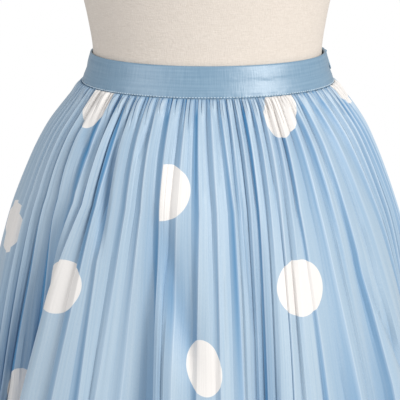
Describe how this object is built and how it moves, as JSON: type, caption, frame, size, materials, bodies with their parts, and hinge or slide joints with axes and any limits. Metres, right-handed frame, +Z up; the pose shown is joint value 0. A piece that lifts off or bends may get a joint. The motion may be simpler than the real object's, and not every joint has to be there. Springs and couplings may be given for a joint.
{
  "type": "pleated maxi skirt on dress form",
  "caption": "Long sunray-pleated satin skirt with large pale dots and a fitted waistband with a side zip, worn by a limbless linen dress form on a round foot.",
  "frame": {"origin": "on the floor, at the middle of the form's round foot", "axes": "+Z up; -Y is the front of the skirt, so +X is the wearer's left side, where the zip is"},
  "size_m": [0.7363, 0.6956, 1.5223],
  "materials": {
    "satin": "pleated satin with cream dots",
    "band_satin": "smooth satin",
    "tape": "woven tape",
    "zip_metal": "satin enamel",
    "linen": "plain linen weave",
    "wood": "oiled",
    "stand_metal": "satin"
  },
  "bodies": {
    "skirt_on_form": {"skirt_front": "satin", "skirt_back": "satin", "waistband": "band_satin", "zip_tape": "tape", "zip_slider": "zip_metal", "form_torso": "linen", "form_neck_cap": "wood", "form_flange": "stand_metal", "form_pole": "stand_metal", "form_hub": "stand_metal", "form_foot": "stand_metal"},
    "pull": {"zip_pull": "zip_metal"}
  },
  "joints": [
    {"name": "pull_hinge", "type": "hinge", "parent": "skirt_on_form", "child": "pull", "pos_m": [0.12188, 0.02115, 1.04637], "axis": [0.2987, -0.9544, 0], "range_deg": [0, 170]}
  ]
}
